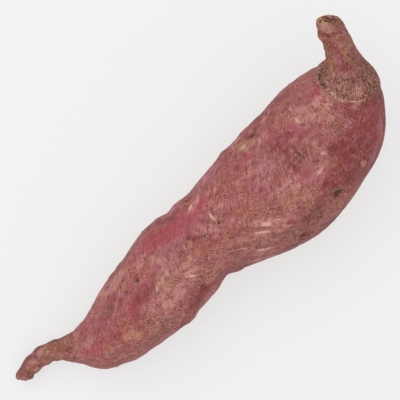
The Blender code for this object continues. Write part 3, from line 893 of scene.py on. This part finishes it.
def strands(tree, middle, rightness):
    """Streaks that cross the root's left and right sides at two slants, as in the photograph."""
    sides = []
    for name, squeeze in (("left_wound", 0.42), ("right_wound", 0.36)):
        place = stretch(tree, read(tree, name, "Vector"), (1, 1, squeeze))
        sides.append(noise(tree, place, 1.6, detail=3, roughness=0.6, distortion=1.0))
    on_right = ragged(tree, rightness, middle, 20.0, 0.0, -12.0)
    return add_node(tree, "ShaderNodeMix", {0: on_right, 2: sides[0], 3: sides[1]}).outputs[0]


def make_clouds(tree):
    place = object_place(tree)
    unrolled = read(tree, "skin_place", "Vector")
    speck_place = stretch(tree, unrolled, (1, 1, 0.65))
    rightness = add_node(tree, "ShaderNodeSeparateXYZ", {0: unrolled}).outputs["X"]
    middle = noise(tree, place, 8, detail=3, roughness=0.6, distortion=0.5)
    return Clouds(
        broad=noise(tree, place, 24, detail=2),
        middle=middle,
        hue=noise(tree, stretch(tree, place, (1, 1, -1)), 5, detail=3, roughness=0.65, distortion=0.6),
        small=noise(tree, place, 3, detail=3, roughness=0.6),
        speck=noise(tree, speck_place, 1.15, detail=3, roughness=0.7, distortion=0.5),
        fine=noise(tree, place, 0.9, detail=2),
        fibre=noise(tree, stretch(tree, unrolled, (1, 1, 0.16)), 1.3, detail=3, roughness=0.65),
        worm=noise(tree, place, 4.5, detail=2, roughness=0.55, distortion=1.3),
        streak=strands(tree, middle, rightness),
        rightness=rightness,
    )


def add_patches(tree, colour, clouds, kinds):
    """Lays the patches of these kinds on a colour, each one broken up by strands and small clouds."""
    both = calculate(tree, "ADD", clouds.small, clouds.streak)
    for kind in kinds:
        patch_tone, most, roughness = PATCH_TONES[kind]
        broken = calculate(tree, "MULTIPLY_ADD", both, roughness, 1 - roughness)
        shown = times(tree, read(tree, kind), broken)
        colour = blend(tree, step_up(tree, shown, *PATCH_EDGE, most), colour, patch_tone)
    return colour


def two_sided(tree, colour, cloud, pale, pale_share, deep, deep_share, reach=0.16):
    """Lightens a colour where the cloud is high, and darkens it where the cloud is low."""
    colour = blend(tree, step_up(tree, cloud, 0.52, 0.52 + reach, pale_share), colour, pale)
    return blend(tree, step_up(tree, cloud, 0.48, 0.48 - reach, deep_share), colour, deep)


# %% The red skin
def ground_colour(tree, clouds):
    colour = blend(tree, step_up(tree, clouds.broad, 0.38, 0.62), ROSE, MAUVE)
    colour = two_sided(tree, colour, clouds.middle, BRICK, 0.5, CRIMSON, 0.5)
    colour = add_patches(tree, colour, clouds, BROAD_KINDS)
    return two_sided(tree, colour, clouds.hue, LILAC_HAZE, 0.55, BRICK, 0.55)


def add_texture(tree, ground, clouds):
    """Cork lines, streaks and freckles on the ground, faint where the skin is deep red and smooth."""
    colour = two_sided(tree, ground, clouds.small, PALE_PINK, 0.4, DEEP_LINE_AND_HOLLOW_SHADE, 0.5)
    leftness = calculate(tree, "MULTIPLY_ADD", clouds.rightness, -0.004, clouds.middle)
    scaly = step_up(tree, leftness, 0.38, 0.6)
    streaky = step_up(tree, clouds.broad, 0.36, 0.58, 0.5)
    pale_streaks = times(tree, step_up(tree, clouds.streak, 0.5, 0.68), streaky)
    colour = blend(tree, pale_streaks, colour, PALE_PINK)
    colour = blend(tree, step_up(tree, clouds.streak, 0.48, 0.32, 0.5), colour, DEEP_LINE_AND_HOLLOW_SHADE)

    grainy = calculate(tree, "MULTIPLY_ADD", scaly, 0.25, 0.1)
    for start, end, grain in ((0.54, 0.68, CORK_LINE), (0.44, 0.3, DEEP_LINE_AND_HOLLOW_SHADE)):
        freckles = times(tree, step_up(tree, clouds.fine, start, end), grainy)
        colour = blend(tree, freckles, colour, grain)

    deep_red = calculate(tree, "ADD", read(tree, "wine"), read(tree, "raspberry"))
    calm = step_up(tree, deep_red, 0.3, 1.4, 0.6)
    colour = blend(tree, calm, colour, ground)
    scaly = times(tree, scaly, calculate(tree, "SUBTRACT", 1.0, calm))
    waves = calculate(tree, "PINGPONG", clouds.worm, WORM_STEP)
    for start, end, share, line in ((0.55, 0.9, 0.65, CORK_LINE), (0.4, 0.1, 0.7, DEEP_LINE_AND_HOLLOW_SHADE)):
        worms = step_up(tree, waves, start * WORM_STEP, end * WORM_STEP, share)
        colour = blend(tree, times(tree, worms, scaly), colour, line)
    return add_patches(tree, colour, clouds, STROKES)


# %% The neck, collar and tail
def neck_colour(tree, clouds):
    colour = two_sided(tree, NECK_BROWN, clouds.fibre, NECK_TAN, 0.7, NECK_RED, 0.8)
    colour = add_patches(tree, colour, clouds, PATCH_TONES)
    colour = two_sided(tree, colour, clouds.small, NECK_TAN, 0.7, NECK_RED, 0.75)
    colour = two_sided(tree, colour, clouds.speck, COLLAR_FIBRE, 0.8, DARK_FIBRE, 0.7)
    return two_sided(tree, colour, clouds.fine, COLLAR_FIBRE, 0.35, DARK_FIBRE, 0.35)


def collar_colour(tree, clouds):
    colour = blend(tree, step_up(tree, clouds.middle, 0.42, 0.58, 0.5), COLLAR_BROWN, OLIVE_TAN)
    colour = add_patches(tree, colour, clouds, ("wine", "dusk", "lilac", "tan", "pale", "cream"))
    colour = two_sided(tree, colour, clouds.fibre, COLLAR_FIBRE, 0.5, DARK_FIBRE, 0.4)
    colour = two_sided(tree, colour, clouds.speck, COLLAR_FIBRE, 0.7, DARK_FIBRE, 0.75, 0.12)
    return two_sided(tree, colour, clouds.fine, COLLAR_FIBRE, 0.4, DARK_FIBRE, 0.5, 0.14)


def tail_colour(tree, clouds):
    colour = blend(tree, step_up(tree, clouds.middle, 0.42, 0.62), TAIL_BROWN, ROSE)
    colour = add_patches(tree, colour, clouds, PATCH_TONES)
    colour = two_sided(tree, colour, clouds.small, PALE_PINK, 0.6, PATCH_TONES["dusk"][0], 0.75)
    colour = two_sided(tree, colour, clouds.speck, NECK_TAN, 0.8, DARK_FIBRE, 0.75)
    return two_sided(tree, colour, clouds.fine, COLLAR_FIBRE, 0.3, DARK_FIBRE, 0.35)


def cut_end_colour(tree, clouds):
    colour = blend(tree, step_up(tree, clouds.small, 0.5, 0.64), END_TAN, NECK_BROWN)
    colour = two_sided(tree, colour, clouds.fine, COLLAR_FIBRE, 0.5, DARK_FIBRE, 0.6)
    pits = step_up(tree, noise(tree, object_place(tree), END_PIT_SIZE), 0.5, 0.42, 0.95)
    colour = blend(tree, times(tree, pits, read(tree, "pitted")), colour, END_PIT)
    return add_patches(tree, colour, clouds, ("dusk",))


# %% The whole skin material
def skin_material():
    material, tree = new_material("sweet potato skin")
    clouds = make_clouds(tree)
    colour = add_texture(tree, ground_colour(tree, clouds), clouds)
    colour = blend(tree, read(tree, "neck"), colour, neck_colour(tree, clouds))
    on_collar = ragged(tree, read(tree, "collar"), clouds.small, 1.2, 0.3, 0.7, 0.95)
    colour = blend(tree, on_collar, colour, collar_colour(tree, clouds))
    on_tail = ragged(tree, read(tree, "tail"), clouds.small, 0.8, 0.25, 0.75, 0.95)
    colour = blend(tree, on_tail, colour, tail_colour(tree, clouds))
    # Painted shade: the colour turns towards the deep line tone where the relief is low.
    colour = blend(tree, step_up(tree, read(tree, "height"), -0.2, -2.0, 0.4), colour, DEEP_LINE_AND_HOLLOW_SHADE)
    colour = blend(tree, read(tree, "cut_end"), colour, cut_end_colour(tree, clouds))
    # Scars are dark in their own colour; along the crack beside the collar the dark is painted shadow.
    scar = ragged(tree, read(tree, "scar"), clouds.fine, 2.4, 1.3, 0.6, 0.85)
    colour = blend(tree, scar, colour, SCAR_DARK_AND_CRACK_SHADOW)

    fibrous = calculate(tree, "MAXIMUM", read(tree, "collar"), read(tree, "neck"))
    bumps = calculate(tree, "MULTIPLY_ADD", clouds.small, 0.8, times(tree, clouds.fine, 0.5))
    bumps = calculate(tree, "MULTIPLY_ADD", thin_line(tree, clouds.worm, 0.5, 0.05), 0.25, bumps)
    bumps = calculate(tree, "MULTIPLY_ADD", clouds.speck, fibrous, bumps)
    bump = add_node(tree, "ShaderNodeBump", {"Height": bumps, "Distance": 0.25 * MM, "Strength": 0.7})
    rough = add_node(tree, "ShaderNodeMapRange", {"Value": clouds.small, "To Min": 0.5, "To Max": 0.78})
    shader = add_node(tree, "ShaderNodeBsdfPrincipled", {
        "Base Color": colour,
        "Roughness": rough.outputs[0],
        "Specular IOR Level": SKIN_GLOSS,
        "Normal": bump.outputs[0],
    })
    add_node(tree, "ShaderNodeOutputMaterial", {0: shader.outputs[0]})
    return material


grow(skin, relief_tree(), {**RELIEF_CHOICES, "Material": skin_material()})
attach(skin, "root")
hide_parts("sweet_potato")
print("skin triangles:", sum(len(face.vertices) - 2 for face in skin.data.polygons))

# %% [markdown]
# Corky flecks sit on the collar and in the tan patches: small raised dots of dead cork. There are
# hundreds and no two are alike, so a Geometry Nodes tree scatters them, thicker where the collar and
# tan masks are strong, and turns each one to lie flat on the skin.

# %% Corky flecks
FLECK_CHOICES = {"Everywhere": 1500.0, "On Tan": 30000.0, "On Collar": 110000.0, "Size": 0.34 * MM}
FLECK_SHAPE = 1.3, 0.8, 0.35
FLECK_SEED = 4
SPIN_SEED = 7
SHADE_SEED = 9


def random_between(tree, low, high, seed):
    values = {2: low, 3: high, "Seed": seed}
    return add_node(tree, "FunctionNodeRandomValue", values, data_type="FLOAT").outputs[1]


def fleck_tree():
    tree, given = start_tree("corky flecks", FLECK_CHOICES, ["Seed"])
    density = calculate(tree, "MULTIPLY_ADD", stored(tree, "tan"), given["On Tan"], given["Everywhere"])
    density = calculate(tree, "MULTIPLY_ADD", stored(tree, "collar"), given["On Collar"], density)
    dots = add_node(tree, "GeometryNodeDistributePointsOnFaces", {
        "Mesh": given["Geometry"],
        "Density": density,
        "Seed": given["Seed"],
    })
    fleck = add_node(tree, "GeometryNodeMeshIcoSphere", {"Radius": 1.0, "Subdivisions": 1})
    size = times(tree, random_between(tree, 0.5, 1.5, given["Seed"]), given["Size"])
    shape = add_node(tree, "ShaderNodeVectorMath", {0: FLECK_SHAPE, "Scale": size}, operation="SCALE")
    placed = add_node(tree, "GeometryNodeInstanceOnPoints", {
        "Points": dots.outputs["Points"],
        "Instance": fleck.outputs["Mesh"],
        "Rotation": dots.outputs["Rotation"],
        "Scale": shape.outputs[0],
    })
    spin = add_node(tree, "ShaderNodeCombineXYZ", {"Z": random_between(tree, 0.0, math.tau, SPIN_SEED)})
    spun = add_node(tree, "GeometryNodeRotateInstances", {
        "Instances": placed.outputs[0],
        "Rotation": spin.outputs[0],
    })
    shaded = add_node(tree, "GeometryNodeStoreNamedAttribute", {
        "Geometry": spun.outputs[0],
        "Name": "shade",
        "Value": random_between(tree, 0.0, 1.0, SHADE_SEED),
    }, data_type="FLOAT", domain="INSTANCE")
    return end_tree(tree, shaded.outputs[0], given["Material"])


def plain_material(name, dark, light):
    """A dull material between two tones, as the piece's shade says."""
    material, tree = new_material(name)
    shader = add_node(tree, "ShaderNodeBsdfPrincipled", {
        "Base Color": blend(tree, read(tree, "shade"), dark, light),
        "Roughness": 0.8,
        "Specular IOR Level": SKIN_GLOSS,
    })
    add_node(tree, "ShaderNodeOutputMaterial", {0: shader.outputs[0]})
    return material


flecks = bpy.data.objects.new("corky_flecks", skin.data.copy())
scene_collection.objects.link(flecks)
grow(flecks, fleck_tree(), {
    **FLECK_CHOICES,
    "Seed": FLECK_SEED,
    "Material": plain_material("cork flecks", FLECK_DARK, FLECK_PALE),
})
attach(flecks, "root")
print("fleck triangles:", len(flecks.data.polygons))

# %% [markdown]
# Rootlets are the thin side roots that weren't rubbed off when the root was washed. One lies across
# the waist, a stub stands in an eye on top, and others stand in some of the hidden eyes. Each path is
# laid out with the skin's own formula, so that it follows every hollow, and a tree turns the paths
# into tapering tubes.

# %% Rootlets
Rootlet = namedtuple("Rootlet", "along around slant bend length radius lift")
TOP_ROOTLETS = rows(Rootlet, (
    (137.3, 68, 92, 14, 7.6, 0.42, 0.2), (188.2, 80, 160, 20, 2.2, 0.3, 0.2),
))
ROOTLET_STEPS = 10
ROOTLET_SEED = 31
HIDDEN_ROOTLET_SHARE = 0.45
BELLY_REACH_DEGREES = 35


def rootlets():
    """The rootlets on top, and seeded ones in some of the hidden eyes, but none under the belly."""
    draw = random.Random(ROOTLET_SEED)
    found = TOP_ROOTLETS.copy()
    for eye in hidden_eyes():
        clear = abs(degrees_apart(eye.around, 270)) > BELLY_REACH_DEGREES
        if clear and draw.random() < HIDDEN_ROOTLET_SHARE:
            lies = draw.uniform(-180, 180), draw.uniform(-30, 30)
            size = draw.uniform(2.5, 8.0), draw.uniform(0.22, 0.38)
            found.append(Rootlet(eye.along, eye.around, *lies, *size, draw.uniform(0.2, 1.0)))
    return found


def rootlet_path(rootlet):
    """Points from the rootlet's foot to its tip, over the skin, and its radius at each."""
    step = np.linspace(0, 1, ROOTLET_STEPS)
    slant = np.radians(rootlet.slant + rootlet.bend * step**2)
    reach = rootlet.length * step
    along = (rootlet.along + reach * np.cos(slant)) * MM
    width = between_stations("half_width", along)
    around = rootlet.around + np.degrees(reach * np.sin(slant) / width)
    points, _ = surface(along, around)
    centre, _ = surface(along, around + 180)
    outward = points - (points + centre) / 2
    outward /= np.linalg.norm(outward, axis=1)[:, None]
    lift = (rootlet.lift * np.sin(step * math.pi * 0.6) - 0.3 * (1 - step) ** 4) * MM
    return points + outward * lift[:, None] + origin_shift, rootlet.radius * (1 - 0.6 * step) * MM


def rootlet_lines(pieces):
    """One mesh with a chain of edges for each rootlet, and the tube's radius stored at each point."""
    paths = [rootlet_path(rootlet) for rootlet in pieces]
    points = np.concatenate([path for path, _ in paths])
    links = [(point, point + 1) for point in range(len(points)) if (point + 1) % ROOTLET_STEPS]
    mesh = bpy.data.meshes.new("rootlets")
    mesh.from_pydata(points, links, [])
    for name, values in (
        ("thickness", np.concatenate([radius for _, radius in paths])),
        ("shade", np.tile(np.linspace(0, 1, ROOTLET_STEPS), len(paths))),
    ):
        mesh.attributes.new(name, "FLOAT", "POINT").data.foreach_set("value", values.astype(np.float32))
    return mesh


def rootlet_tree():
    tree, given = start_tree("rootlets", counts=["Sides"])
    thickness = stored(tree, "thickness")
    lines = add_node(tree, "GeometryNodeMeshToCurve", {"Mesh": given["Geometry"]})
    sized = add_node(tree, "GeometryNodeSetCurveRadius", {0: lines.outputs[0], "Radius": thickness})
    ring = add_node(tree, "GeometryNodeCurvePrimitiveCircle", {
        "Resolution": given["Sides"],
        "Radius": 1.0,
    })
    tubes = add_node(tree, "GeometryNodeCurveToMesh", {
        "Curve": sized.outputs[0],
        "Profile Curve": ring.outputs[0],
        "Scale": thickness,
        "Fill Caps": True,
    })
    return end_tree(tree, tubes.outputs[0], given["Material"])


rootlet_piece = bpy.data.objects.new("rootlets", rootlet_lines(rootlets()))
scene_collection.objects.link(rootlet_piece)
grow(rootlet_piece, rootlet_tree(), {
    "Sides": 8,
    "Material": plain_material("rootlet", ROOTLET_FOOT, ROOTLET_TIP),
})
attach(rootlet_piece, "root")
print(len(rootlets()), "rootlets,", len(rootlet_piece.data.polygons), "faces")

# %% [markdown]
# The photograph looks straight down on the root, with flat light from all round as in a photo tent,
# and a background so pale that no shadow shows. The camera stands over the loft's own origin, high
# enough for the perspective to be mild, and is turned so that the root runs from lower left to upper
# right. Half a millimetre of the root at mid height fills one of the photograph's 400 pixels.

# %% Camera
VIEW_WIDTH = 200 * MM
MIDDLE_HEIGHT = 28 * MM
ROOT_TURN_DEGREES = 48
LENS = 120
SENSOR = 36
HALF_PIXEL = 0.25 * MM

camera = bpy.data.objects.new("camera", bpy.data.cameras.new("camera"))
camera.data.lens = LENS
camera.data.sensor_width = SENSOR
camera_distance = VIEW_WIDTH * LENS / SENSOR
turn = math.radians(ROOT_TURN_DEGREES)
picture_right = np.array([math.cos(turn), -math.sin(turn), 0])
picture_up = np.array([math.sin(turn), math.cos(turn), 0])
camera.location = origin_shift + HALF_PIXEL * (picture_up - picture_right)
camera.location.z = MIDDLE_HEIGHT + camera_distance
camera.rotation_euler = (0, 0, -turn)
scene_collection.objects.link(camera)
bpy.context.scene.camera = camera
print(f"camera {camera_distance:.3f} m above the root's middle")

# %% Light and floor
HORIZON_LIGHT = 0.4
ZENITH_LIGHT = 1.05
KEY_POWER = 5.0
KEY_SIZE = 1.2
KEY_PLACE = 0.1, 0.9, 1.4
FLOOR_GLOW = 0.6
FLOOR_TONE = 0.3
FLOOR_SIZE = 40.0

scene = bpy.context.scene
scene.view_settings.view_transform = "Standard"
scene.world = bpy.data.worlds.new("studio")
scene.world.use_nodes = True
sky = scene.world.node_tree
sky_place = add_node(sky, "ShaderNodeTexCoord").outputs["Generated"]
sky_height = add_node(sky, "ShaderNodeSeparateXYZ", {0: sky_place})
sky_light = add_node(sky, "ShaderNodeMapRange", {
    "Value": sky_height.outputs["Z"],
    "From Min": 0.0,
    "To Min": HORIZON_LIGHT,
    "To Max": ZENITH_LIGHT,
}).outputs[0]
sky.links.new(sky_light, sky.nodes["Background"].inputs["Strength"])
sky.nodes["Background"].inputs["Color"].default_value = (1, 1, 1, 1)

key = bpy.data.objects.new("soft key", bpy.data.lights.new("soft key", "AREA"))
key.data.energy = KEY_POWER
key.data.size = KEY_SIZE
key.location = KEY_PLACE
aim = -key.location.normalized()
key.rotation_euler = aim.to_track_quat("-Z", "Y").to_euler()
scene_collection.objects.link(key)

floor_mesh = bpy.data.meshes.new("floor")
half = FLOOR_SIZE / 2
corners = [(-half, -half, 0), (half, -half, 0), (half, half, 0), (-half, half, 0)]
floor_mesh.from_pydata(corners, [], [(0, 1, 2, 3)])
floor = bpy.data.objects.new("floor", floor_mesh)
scene_collection.objects.link(floor)
floor_look, floor_tree = new_material("pale floor")
card = add_node(floor_tree, "ShaderNodeBsdfDiffuse", {"Color": (FLOOR_TONE, FLOOR_TONE, FLOOR_TONE, 1)})
glow = add_node(floor_tree, "ShaderNodeEmission", {"Strength": FLOOR_GLOW})
both = add_node(floor_tree, "ShaderNodeAddShader", {0: card.outputs[0], 1: glow.outputs[0]})
add_node(floor_tree, "ShaderNodeOutputMaterial", {0: both.outputs[0]})
floor_mesh.materials.append(floor_look)
